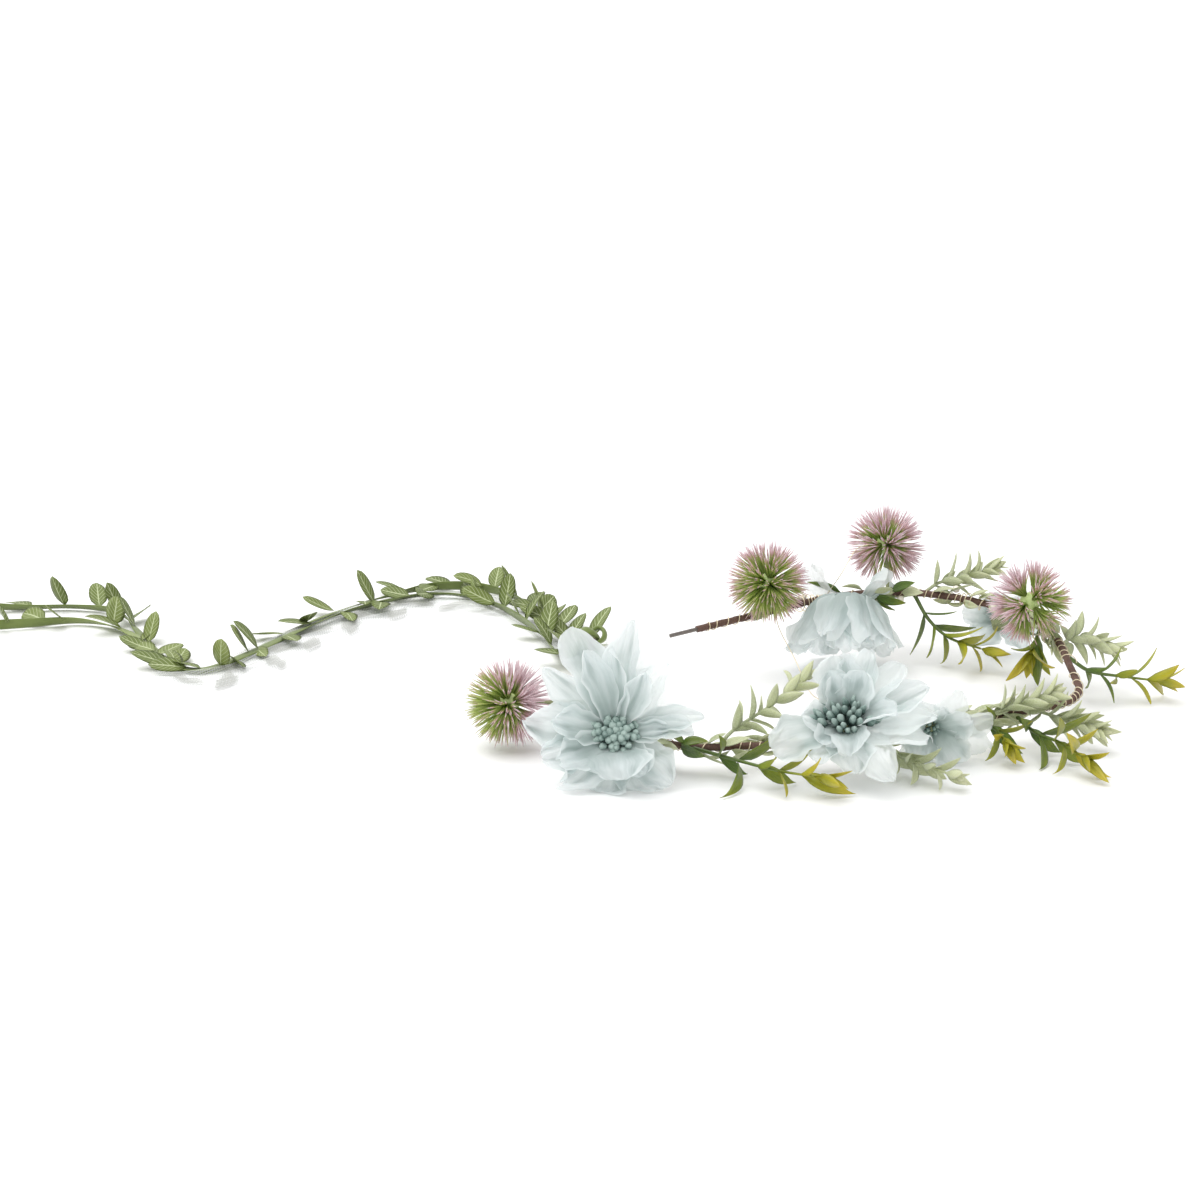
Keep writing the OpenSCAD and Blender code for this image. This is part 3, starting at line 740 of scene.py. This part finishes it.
def petal(shape, base, axis, up, right, row, rng, start, lift):
    """A crumpled petal of a row (see the flowers), from start out and lift along the flower's axis."""
    azimuth, length, width, lean0, lean1, curl, cup, ruffle, *more = row
    veil = more[0] if more else 0
    radial = turned(up, right, math.radians(azimuth))
    t = np.linspace(0, 1, PETAL_ROWS)
    v = np.linspace(-1, 1, PETAL_COLS)
    tc, vr = t[:, None], v[None, :]
    flank = np.sign(vr)
    nod = rng.uniform(-34, 34)
    angle = np.radians(np.interp(t, [0, 0.4, 0.7, 0.9, 1],
                                 [lean0, lean1, lean1 + curl * 0.3, lean1 + curl * 0.8,
                                  lean1 + curl + nod]))
    angle = np.convolve(np.pad(angle, 2, "edge"), np.ones(5) / 5, "valid")
    ahead, inner = leaning(axis, radial, angle[:, None])
    side = np.cross(axis, radial)
    mid = base + axis * lift + radial * start + walked(ahead, length)
    sway = rng.uniform(-0.14, 0.14) * length
    mid = mid + (sway * t**2.4)[:, None] * side
    widest, point = rng.uniform(0.54, 0.70), rng.uniform(0.34, 0.66)
    w = np.where(t < widest, 0.24 + 0.76 * np.sin(math.pi / 2 * np.minimum(t / widest, 1)) ** 1.3,
                 np.clip(1 - (np.maximum(t - widest, 0) / (1.005 - widest)) ** 2.2, 0, 1) ** point)
    w = np.maximum(w, 0.04)[:, None] * width / 2
    edge = 1 + 0.10 * np.sin(10 * tc + rng.uniform(0, 6) + 2 * flank)
    edge = edge + 0.08 * crease(24 * tc + 3 * flank)
    k1, k2 = rng.uniform(0.9, 1.6), rng.uniform(2.2, 3.4)
    p1, p2, p3 = (rng.uniform(0, 6.28) for _ in range(3))
    grow = tc**1.2
    fold = crease(k1 * math.pi * vr + p1 + 1.4 * tc)
    fold = 0.75 * fold + 0.40 * crease(k2 * math.pi * vr + p2 - 2.0 * tc)
    rim = np.abs(vr) ** 3 * np.sin(9.0 * tc + p3 + flank)
    crumple = crease(5.5 * vr + 7 * tc + p1) * crease(8.5 * tc - 3.5 * vr + p2)
    height = cup * vr**2 * w * (0.4 + 0.6 * grow)
    height = height + ruffle * grow * (
        fold * (0.55 + 0.45 * np.abs(vr)) + 0.9 * rim + 0.60 * crumple)
    twist = (math.radians(rng.uniform(-30, 30)) * t**1.5)[:, None]
    wide = turned(side, inner, twist)
    above = turned(inner, -side, twist)
    pinch = 1 - 0.25 * np.abs(cup)
    pts = mid[:, None] + (vr * w * edge * pinch)[..., None] * wide[:, None]
    pts = pts + height[..., None] * above[:, None]
    uv = np.stack(np.broadcast_arrays(vr * w, tc * length), -1)
    if veil:
        tint = np.full(len(t) * len(v), VEIL_TINT + 0.5 * veil)
    else:
        # painted highlight on the edges, the tip and the crests of the folds, painted shade in their
        # valleys
        tint = PLAIN_TINT + 0.26 * np.abs(vr) ** 6 + 0.24 * tc**9
        tint = np.clip(tint + grow * (0.20 * fold + 0.16 * crumple), 0, VEIL_TINT).ravel()
    shape.grid(on_table(pts, 0.4, 2.5), uv=uv, along=t, tint=tint)


def pip(shape, base, heading, length, radius, tint, rng):
    """A chubby wrinkled anther."""
    heading = unit(heading)
    _, a, b = frames(np.array([base, base + heading]))
    s = np.linspace(0.02, 0.98, 9)
    r = radius * np.sin(math.pi * s ** 0.85) ** 0.6
    angle = around(9)
    wrinkle = 1 + 0.12 * np.sin(3 * angle[None, :] + 5 * s[:, None] + rng.uniform(0, 6))
    bow = 0.25 * radius * np.sin(math.pi * s)[:, None] * (rng.uniform(-1, 1) * a[0]
                                                         + rng.uniform(-1, 1) * b[0])
    ring = turned(a[0], b[0], angle[None, :, None])
    pts = base + (s * length)[:, None, None] * heading + bow[:, None] \
        + (r[:, None] * wrinkle)[..., None] * ring
    shape.grid(pts, closed=True, tint=np.clip(tint - 0.6 + 1.1 * s**0.8, 0, 1))


def stamens(name, base, axis, up, right, pips, squash, node, body, rng):
    """Thin filaments in a spiral, each with an anther; squash flattens the cluster."""
    count, spread, pip_length, pip_r, lift = pips
    shape = Shape()
    for k in range(count):
        share = math.sqrt((k + 0.5) / count)
        a = math.radians(137.5 * k + rng.uniform(-12, 12))
        out = squash * math.cos(a) * up + math.sin(a) * right
        lean = math.radians(46 * share + rng.uniform(-6, 6))
        root = base + axis * 2.5 + out * 1.6 * share
        tip = base + axis * (lift - 2.4 * share**2 + rng.uniform(-0.7, 0.7)) + out * spread * share
        heading = turned(axis, out, lean)
        bend = (root + tip) / 2 + axis * 1.2
        tube(shape, smooth_path([root, bend, tip + heading * 0.4], 1.0), 0.22, 5, tint=0.35)
        pip(shape, tip, heading, pip_length * rng.uniform(0.85, 1.15),
            pip_r * rng.uniform(0.85, 1.12), rng.uniform(0.25, 0.75), rng)
    shape.make(name, PIP, "stamens", body, replaces=(node,))


def flower(number, body, base, axis, seed, pips, outer, inner, squash=1, lift=0):
    """Two layers of petals and the stamens, from a base point along an axis."""
    base, axis = np.array(base, float), unit(axis)
    up = unit(VIEW_UP - (VIEW_UP @ axis) * axis)
    right = np.cross(up, axis)
    rng = random.Random(seed)
    layers = ("outer", outer, 2.4, lift), ("inner", inner, 1.8, lift + 1.2)
    for layer, rows, start, rise in layers:
        petals = Shape()
        for row in rows:
            petal(petals, base, axis, up, right, row, rng, start, rise)
        petals.make(f"flower_{number}_{layer}_layer", PETAL, "petals", body,
                    replaces=(f"flower_{number}_{layer}_petals",), solid=False)
    stamens(f"flower_{number}_anthers", base, axis, up, right, pips, squash,
            f"flower_{number}_stamens", body, rng)


# pips: how many, how far they spread, length, radius and height of the anthers
# each petal: azimuth, length, width, lean at the base, lean at the middle, curl, cup, ruffle,
# and for some how far its cloth thins to a veil
flower(
    1, "front_half", base=(-77, -80, 17), axis=(-0.08, -0.86, 0.5), seed=11,
    pips=(46, 7.0, 3.6, 1.5, 6.6), squash=0.76,
    outer=[
        (-22, 42, 17, 38, 70, -6, 0.35, 1.6), (2, 41, 14, 40, 78, -6, 0.3, 1.8),
        (17, 38, 12, 42, 80, 0, 0.5, 1.8, 0.35), (36, 31, 15, 42, 80, -8, 0.4, 1.8, 0.4),
        (53, 34, 15, 48, 88, -10, 0.3, 2.0, 0.55), (72, 31, 12, 45, 86, 6, 0.6, 1.8),
        (82, 27, 12, 44, 80, 20, 0.7, 1.8), (126, 25, 17, 52, 92, 14, 0.3, 1.8),
        (157, 25, 17, 56, 98, 12, 0.3, 2.0), (-172, 26, 18, 56, 100, 8, 0.3, 2.0),
        (-140, 26, 18, 50, 90, -46, 0.5, 2.8), (-114, 27, 16, 48, 84, -30, 0.4, 2.8),
        (-78, 33, 18, 42, 84, -44, 0.3, 2.4), (-48, 35, 13, 40, 78, -4, 0.5, 1.6)],
    inner=[
        (5, 33, 12, 28, 66, -8, 0.5, 1.4), (-17, 34, 13, 26, 62, -4, 0.5, 1.5),
        (32, 25, 12, 30, 66, 10, 0.7, 1.9), (90, 19, 10, 34, 72, 50, 0.8, 2.2),
        (140, 19, 14, 44, 62, 44, 0.3, 1.6), (177, 20, 24, 45, 44, 66, 0.1, 0.9),
        (-122, 24, 16, 38, 80, -50, 0.35, 2.6), (-82, 24, 15, 34, 72, -10, 0.5, 2.2)])
flower(
    2, "front_half", base=(6, -76, 18), axis=(-0.15, -0.5, 0.85), seed=23,
    pips=(34, 9.6, 5.4, 1.25, 7.4), squash=0.62,
    outer=[
        (-120, 30, 20, 40, 78, -6, 0.3, 1.2), (-30, 21, 17, 30, 50, 0, 0.35, 1.6),
        (-8, 26, 19, 28, 54, 4, 0.35, 1.8), (18, 29, 19, 28, 58, 8, 0.35, 1.9),
        (45, 30, 18, 32, 64, 8, 0.4, 2.0, 0.1), (74, 32, 15, 38, 76, 4, 0.5, 1.8),
        (92, 33, 15, 44, 80, 0, 0.3, 1.8, 0.15), (114, 31, 17, 46, 86, 0, 0.25, 1.8, 0.2),
        (138, 31, 15, 46, 92, 6, 0.3, 1.6, 0.3), (168, 21, 18, 44, 86, 30, 0.4, 1.4),
        (-150, 20, 18, 44, 80, 10, 0.3, 1.4)],
    inner=[
        (-24, 19, 14, 18, 44, 0, 0.4, 1.5), (30, 21, 16, 18, 46, 4, 0.35, 1.6),
        (92, 22, 15, 22, 60, 16, 0.5, 1.6), (-104, 17, 15, 26, 62, -4, 0.35, 1.3),
        (162, 19, 15, 32, 62, 60, 0.4, 1.2), (-158, 15, 14, 32, 62, 30, 0.3, 1.2)])
flower(
    3, "back_half", base=(17, 72, 21), axis=(-0.05, -0.62, -0.78), seed=37,
    pips=(18, 5.0, 3.6, 1.1, 5.0), lift=-4,
    outer=[
        (-100, 32, 17, 116, 34, -6, 0.3, 1.8, 0.35), (-66, 40, 18, 132, 26, -8, 0.3, 2.4),
        (-36, 42, 18, 128, 28, 0, 0.3, 2.4), (-6, 40, 17, 126, 28, 0, 0.3, 2.4),
        (26, 40, 18, 126, 26, 0, 0.3, 2.4), (54, 38, 17, 128, 24, -4, 0.3, 2.4),
        (84, 29, 16, 112, 34, -6, 0.3, 2.0, 0.2), (124, 26, 16, 100, 44, 0, 0.3, 1.8),
        (-140, 26, 16, 100, 44, 0, 0.3, 1.8), (-72, 21, 22, 118, 140, 6, 0.3, 1.8, 0.3),
        (66, 20, 13, 112, 138, -16, 0.4, 2.4), (98, 20, 10, 108, 130, 10, 0.5, 2.2)],
    inner=[
        (-52, 33, 15, 110, 22, 0, 0.3, 2.2), (-20, 35, 14, 104, 20, 0, 0.3, 2.2),
        (10, 35, 14, 104, 20, 0, 0.3, 2.2), (40, 33, 15, 108, 22, 0, 0.3, 2.2),
        (130, 20, 14, 60, 30, 0, 0.3, 1.3), (-130, 20, 14, 60, 30, 0, 0.3, 1.3)])
flower(
    4, "back_half", base=(80, 82, 16), axis=(0.3, 0.9, 0.2), seed=41, pips=(16, 4.6, 3.0, 1.0, 6.0),
    outer=[
        (-160, 17, 14, 40, 76, 10, 0.3, 1.6), (-110, 18, 15, 42, 80, 8, 0.3, 1.6),
        (-64, 13, 13, 42, 84, 10, 0.3, 1.7), (-12, 9, 11, 42, 84, 10, 0.3, 1.4),
        (38, 9, 11, 40, 80, 12, 0.3, 1.4), (88, 15, 13, 40, 80, 14, 0.3, 1.7),
        (140, 17, 14, 40, 76, 10, 0.3, 1.6)],
    inner=[
        (-80, 12, 11, 24, 56, 0, 0.3, 1.2), (-20, 8, 9, 24, 56, 0, 0.3, 1.0),
        (50, 8, 9, 24, 56, 0, 0.3, 1.0), (130, 12, 11, 24, 56, 0, 0.3, 1.2)])
flower(
    5, "front_half", base=(38, -57, 15), axis=(0.15, -0.85, -0.3), seed=53,
    pips=(10, 2.2, 2.4, 0.9, 3.2),
    outer=[
        (-30, 15, 13, 45, 84, 10, 0.3, 1.2, 0.2), (28, 17, 14, 45, 84, 8, 0.3, 1.3, 0.3),
        (78, 21, 14, 46, 84, 0, 0.25, 1.1, 0.25), (112, 22, 18, 48, 86, -4, 0.2, 1.0, 0.3),
        (158, 20, 18, 48, 84, -6, 0.3, 1.2, 0.25), (-142, 19, 17, 45, 82, 6, 0.3, 1.2, 0.2),
        (-86, 17, 15, 45, 82, 8, 0.3, 1.2, 0.2)],
    inner=[
        (-60, 12, 12, 30, 66, 0, 0.3, 1.2), (0, 12, 12, 30, 66, 0, 0.3, 1.2),
        (62, 15, 14, 30, 66, 0, 0.3, 1.2), (134, 17, 17, 26, 62, 0, 0.2, 1.2),
        (-150, 14, 14, 28, 62, 0, 0.3, 1.2)])

# ---------------------------------------------------------------- pompoms
BALL_R, BALL_CORE_R = 17.5, 4.0
# on the back half, distance, lean, reach, needles, clumping, pink side, pink start, pink more
POMPOMS = [
    (False, 59.7, 7, 39.6, 620, 0.35, (0.9, -0.1, 0.25), 0.62, 0.42),
    (True, 173.3, 114, 18, 640, 0.30, (0.1, 0.1, 0.5), 0.72, 0.10),
    (True, 113, 43, 21.5, 600, 0.35, (0.1, -0.5, 0.2), 0.56, 0.16),
    (True, 27.2, 125, 20.5, 560, 0.65, (-0.7, 0.0, 0.5), 0.66, 0.20),
]
# The tufts stand at an icosahedron's corners, but for the one that the stem takes.
TUFT_LEAN = math.degrees(math.atan(2))
TUFT_WAYS = [(0, 0)] + [(TUFT_LEAN, 72 * k) for k in range(5)] \
    + [(180 - TUFT_LEAN, 72 * k + 36) for k in range(5)]
STEM_RISE = -0.93
for number, row in enumerate(POMPOMS, 1):
    back, distance, lean, reach, needles, clump, pink, start, more = row
    p, x, out, up = wire_pose(back, distance)
    z = turned(out, up, math.radians(lean))
    y = np.cross(z, x)
    middle = p + z * reach
    rng = random.Random(70 + number)
    shape = Shape()
    pink = unit(pink)
    tufts = np.array([turned(z, turned(x, y, math.radians(spin)), math.radians(tilt))
                      for tilt, spin in TUFT_WAYS])
    for k in range(needles):
        rise = 1 - 2 * (k + 0.5) / needles
        if rise < STEM_RISE:
            continue
        spin = math.radians(GOLDEN_ANGLE * k)
        n = unit(rise * z + math.sqrt(1 - rise**2) * turned(x, y, spin)
                 + np.array([rng.gauss(0, 0.07) for _ in range(3)]))
        tuft = tufts[int(np.argmax(tufts @ n))]
        root_way = unit((1 - clump) * n + clump * tuft)
        n = unit(n + 0.25 * clump * (tuft - n))
        root = middle + root_way * (BALL_CORE_R - 0.7)
        tip = middle + n * BALL_R * rng.uniform(0.86, 1.0)
        bend = root + root_way * 5.0
        s = np.linspace(0, 1, 7)[:, None]
        line = (1 - s) ** 2 * root + 2 * s * (1 - s) * bend + s**2 * tip
        s = s[:, 0]
        threshold = start - more * float(n @ pink) + rng.uniform(-0.08, 0.08)
        least = rng.uniform(0.0, 0.2) + 0.42 * s**2
        tint = np.clip((s - threshold) / 0.45 + 0.40, least, 1.0)
        tube(shape, on_table(line), np.interp(s, [0, 0.3, 0.85, 1], [0.36, 0.38, 0.27, 0.09]), 3,
             along=s, tint=tint)
    shape.make(f"pompom_{number}_needles", NEEDLE, "needles", f"pompom_{number}",
               replaces=(f"pompom_{number}_tufts",))

# ---------------------------------------------------------------- knot, trims and tulle
# The knot is a trefoil of the band, pulled tight round the wire's left end.
knot_at = np.array([-86, 32, 22.6])
turns = np.linspace(0, 2 * math.pi, 97)[:-1]
knot_line = knot_at + 1.75 * np.stack(
    [np.sin(turns) + 2 * np.sin(2 * turns), 1.1 * -np.sin(3 * turns),
     np.cos(turns) - 2 * np.cos(2 * turns)], 1)
ahead = units(np.roll(knot_line, -1, 0) - np.roll(knot_line, 1, 0))
outward = knot_line - knot_at
outward = units(outward - (outward * ahead).sum(1)[:, None] * ahead)
angle = around(10)
knot_rings = knot_line[:, None] + 0.9 * np.cos(angle)[None, :, None] * outward[:, None] \
    + 1.7 * np.sin(angle)[None, :, None] * np.cross(ahead, outward)[:, None]
knot = Shape()
knot.grid(knot_rings, closed=True, loop=True, tint=0.4,
          uv=np.stack(np.broadcast_arrays(angle[None, :] * 1.2, np.arange(len(turns))[:, None]), -1))
knot.make("trim_knot", BAND, "leaf_trim", "front_half", replaces=("ribbon_knot",))

BAND_W, BAND_T, TRIM_LENGTH, COIL_R = 4.5, 0.5, 750.0, 25.0
TRIM_STEP, EDGE_HEIGHT = 2.0, 2.75
BAND_RING = np.array([(-1, 0.5), (-0.5, 1), (0.5, 1), (1, 0.5), (1, -0.5), (0.5, -1), (-0.5, -1),
                      (-1, -0.5)])
TRIM_A = [(-86, 39, 22), (-87, 52, 15), (-89, 68, 6), (-92, 86, 1.6)] + [(x, y, 1.2) for x, y in (
    (-98, 112), (-106, 140), (-118, 168), (-136, 186), (-156, 188), (-174, 176), (-192, 156),
    (-208, 130), (-222, 98), (-236, 66), (-250, 62), (-264, 84), (-276, 116), (-290, 146),
    (-310, 156), (-334, 154), (-362, 155), (-390, 156))]
TRIM_B = [(-90, 38, 22), (-93, 50, 14), (-97, 66, 6), (-101, 84, 2.2), (-107, 108, 2.2),
          (-117, 134, 2.2)] + [(x, y, 2.4) for x, y in (
              (-130, 160), (-146, 176), (-162, 174), (-178, 160), (-194, 142), (-210, 116),
              (-226, 84), (-242, 60), (-258, 68), (-270, 96), (-286, 122), (-304, 132),
              (-326, 126), (-350, 121), (-378, 120))]


def near_other(line, other, reach=9.0):
    """1 where a trim crosses the other one, falling to 0 a little away."""
    gaps = np.linalg.norm(line[:, None, :2] - other[None, :, :2], axis=2).min(1)
    away = np.linalg.norm(line[:, :2] - line[0, :2], axis=1)
    return np.exp(-(gaps / reach) ** 2) * (away > 60)


def coil(middle, way, rest):
    """The last of a trim, rest long, wound inward from where the laid part arrives."""
    steps = int(rest / TRIM_STEP)
    points = []
    for k in range(1, steps + 1):
        share = k / steps
        a = math.radians(-90 * way) - way * rest / COIL_R * share
        r = COIL_R + 2.4 - 5.2 * share if share > 0.04 else COIL_R + 60 * share
        points.append((middle[0] + r * math.cos(a), middle[1] + r * math.sin(a), EDGE_HEIGHT))
    return points


def trim_leaves(line, dist, edge, pale, rng):
    """Leaves on alternate sides, folded flat against the band where it is coiled."""
    foliage = Shape()
    t, level, _ = heading_frames(line)
    side, d = 1, 9.0
    while d < dist[-1] - 6:
        i = int(round(d / dist[-1] * (len(line) - 1)))
        in_coil = edge[i] > 0.5
        side = -side
        rise = math.radians(rng.uniform(2, 12) if in_coil else rng.choice([6, 12, 22, 36, 60]))
        spread = math.radians(rng.uniform(5, 10) if in_coil else rng.uniform(34, 62))
        out = side * level[i]
        heading = turned(turned(t[i], out, spread), UP, rise)
        face = out
        if not in_coil:
            crosswise = np.cross(heading, UP)
            tip = math.radians(rng.uniform(-35, 35))
            face = turned(np.cross(crosswise, heading), crosswise, tip)
        size = rng.uniform(0.88, 1.12)
        # the leaves take the band's tint, painted highlight included
        leaf(foliage, line[i] + (0, 0, 0.3), heading, face, 15.0 * size,
             8.2 * size * (0.6 if in_coil else 1), 0.35, 10 if in_coil else rng.uniform(-14, 30),
             0.14, pale[i] + rng.uniform(-0.12, 0.14), 0.05, oval, rng.uniform(-20, 20))
        d += rng.uniform(4, 9) if rng.random() < 0.45 else rng.uniform(12, 24)
    return foliage


def trim(letter, route, other, coil_middle, way, seed):
    """A leaf trim: the laid route, then its unseen end in a coil that stands on its edge."""
    laid = smooth_path(route, TRIM_STEP)
    end = coil(coil_middle, way, TRIM_LENGTH - length_of(laid))
    line = even(np.vstack([laid, end]), TRIM_STEP)
    dist = np.arange(len(line)) * length_of(line) / (len(line) - 1)
    coil_at = length_of(laid) - 8
    edge = np.clip((dist - coil_at + 26) / 26, 0, 1)
    edge = edge * edge * (3 - 2 * edge)
    line[:, 2] += (EDGE_HEIGHT - line[:, 2]) * edge
    flat = near_other(line, smooth_path(other, TRIM_STEP))
    flat = np.convolve(np.pad(flat, 4, "edge"), np.ones(9) / 9, "valid") * (1 - edge)
    roll = np.radians((60 + 24 * np.sin(dist / 19 + seed)) * (1 - edge) * (1 - flat) + 90 * edge)
    laid_z = 0.5 + (BAND_W / 2) * np.sin(roll) + (1.3 * flat if letter == "b" else 0)
    down = np.clip((dist - 55) / 30, 0, 1) * (1 - edge)
    line[:, 2] = line[:, 2] * (1 - down) + laid_z * down
    t, level, top = heading_frames(line)
    wide = turned(level, top, roll[:, None])
    thin = np.cross(t, wide)
    pts = line[:, None] + (BAND_RING[:, 0] * BAND_W / 2)[None, :, None] * wide[:, None] \
        + (BAND_RING[:, 1] * BAND_T / 2)[None, :, None] * thin[:, None]
    pts[..., 2] = np.maximum(pts[..., 2], 0.15)
    # the tint rises along one stretch of each trim: a painted highlight where the light blows the trim
    # out
    pale = 0.38 + 0.30 * np.exp(-((dist - (340 if letter == "a" else 385)) / 45) ** 2)
    band = Shape()
    uv = np.stack(np.broadcast_arrays(BAND_RING[None, :, 0] * BAND_W / 2, dist[:, None]), -1)
    band.grid(pts, closed=True, uv=uv, along=dist / dist[-1], tint=pale)
    band_obj = band.make(f"trim_{letter}_band", BAND, "leaf_trim", "front_half",
                         replaces=(f"leaf_trim_{letter}", f"leaf_trim_{letter}_coil"))
    foliage = trim_leaves(line, dist, edge, pale, random.Random(seed))
    leaf_obj = foliage.make(f"trim_{letter}_leaves", TRIM, "leaf_trim", "front_half")


trim("a", TRIM_A, TRIM_B, (-390, 181), 1, 5)
trim("b", TRIM_B, TRIM_A, (-378, 95), -1, 9)

TULLE_W = 26.0
TULLE_POINTS = [
    (-80, 38, 18), (-80, 52, 8), (-83, 70, 2), (-90, 94, 0.4), (-100, 122, 0.4),
    (-116, 150, 0.4), (-138, 166, 0.4), (-160, 162, 0.4), (-182, 144, 0.4),
    (-200, 118, 0.4), (-214, 90, 0.4), (-228, 60, 0.4), (-244, 44, 0.4), (-262, 44, 0.4)]
line = smooth_path(TULLE_POINTS, 0.8)
far = np.arange(len(line)) * length_of(line) / (len(line) - 1)
_, level, _ = heading_frames(line)
v = np.linspace(-1, 1, 45)
across = v[None, :] * TULLE_W / 2
# it is gathered where it leaves the knot
gather = np.interp(far, [0, 12, 45], [0.22, 0.4, 1.0])
pts = line[:, None] + (v[None, :] * gather[:, None] * TULLE_W / 2)[..., None] * level[:, None]
crinkle = 0.7 * (1 + np.sin(3.2 * math.pi * v[None, :] + far[:, None] / 11)) \
    + 0.5 * (1 + np.sin(5.1 * v[None, :] + far[:, None] / 6.3)) * np.abs(v)[None, :]
pts[..., 2] = np.maximum(pts[..., 2] + crinkle * (1 + 1.5 * (1 - gather))[:, None] - 0.1, 0.25)
# painted shadow of the leaf trim: grey leaf shapes where the net shows, left and right by turns
rng = random.Random(3)
leaf_shadow = np.zeros((len(line), len(v)))
for k, along in enumerate(np.arange(26, far[-1] - 12, 15.0)):
    turn = math.radians(rng.uniform(20, 50)) * (1 if k % 2 else -1)
    dx = across - (5.5 if k % 2 else -5.5)
    dy = far[:, None] - along
    u = (math.cos(turn) * dy + math.sin(turn) * dx) / 12.0
    w = (math.cos(turn) * dx - math.sin(turn) * dy) / 4.4
    leaf_shadow = np.maximum(leaf_shadow, np.clip(7 * (1 - np.abs(u) ** 1.6 - np.abs(w)), 0, 1))
tulle = Shape()
tulle.grid(pts, uv=np.stack(np.broadcast_arrays(across, far[:, None]), -1), tint=leaf_shadow)
tulle_obj = tulle.make("tulle_strip", TULLE, "tulle", "front_half", replaces=("tulle_ribbon",),
                       solid=False)

# ---------------------------------------------------------------- CAD nodes that stay in view
for names, material in (
    (["core_wire_front", "core_wire_back"], STEEL),
    ([f"flower_{i}_calyx" for i in range(1, 6)], CALYX),
    ([f"pompom_{i}_stem" for i in range(1, 5)], CALYX),
    ([f"pompom_{i}_core" for i in range(1, 5)], CORE),
):
    for name in names:
        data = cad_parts[name].data
        data.materials.clear()
        data.materials.append(material)

# ---------------------------------------------------------------- floor, light and camera
floor_mesh = bpy.data.meshes.new("floor")
floor_mesh.from_pydata([(-9, -9, 0), (9, -9, 0), (9, 9, 0), (-9, 9, 0)], [], [(0, 1, 2, 3)])
floor = link("floor", floor_mesh)
floor.location.z = -0.0002
n = Nodes("pale_floor")
floor_mesh.materials.append(n.done(n.principled(Base_Color=(0.93, 0.93, 0.93, 1), Roughness=0.9)))

world = bpy.data.worlds.new("studio")
bpy.context.scene.world = world
world.use_nodes = True
sky = world.node_tree.nodes["Background"].inputs
sky["Color"].default_value = (1, 1, 1, 1)
sky["Strength"].default_value = 0.74
sun = bpy.data.lights.new("overhead", "SUN")
sun.energy, sun.angle = 1.75, math.radians(60)
lamp = link("overhead", sun)
lamp.rotation_euler = Vector((0.28, 0.30, -1)).to_track_quat("-Z", "Y").to_euler()
window = bpy.data.lights.new("window", "AREA")
window.size, window.energy = 0.8, 3.0
lamp = link("window", window)
lamp.location = (-0.5, 0.5, 0.8)
lamp.rotation_euler = (Vector((0, 0, 0)) - lamp.location).to_track_quat("-Z", "Y").to_euler()

camera = link("camera", bpy.data.cameras.new("camera"))
camera.location = (-0.08828, -1.19716, 0.36699)
camera.rotation_euler = (math.radians(90 - VIEW_ELEVATION), 0, 0)
camera.data.lens, camera.data.sensor_width = 97.5, 36
bpy.context.scene.camera = camera
bpy.context.scene.view_settings.view_transform = "Standard"

bpy.context.view_layer.update()
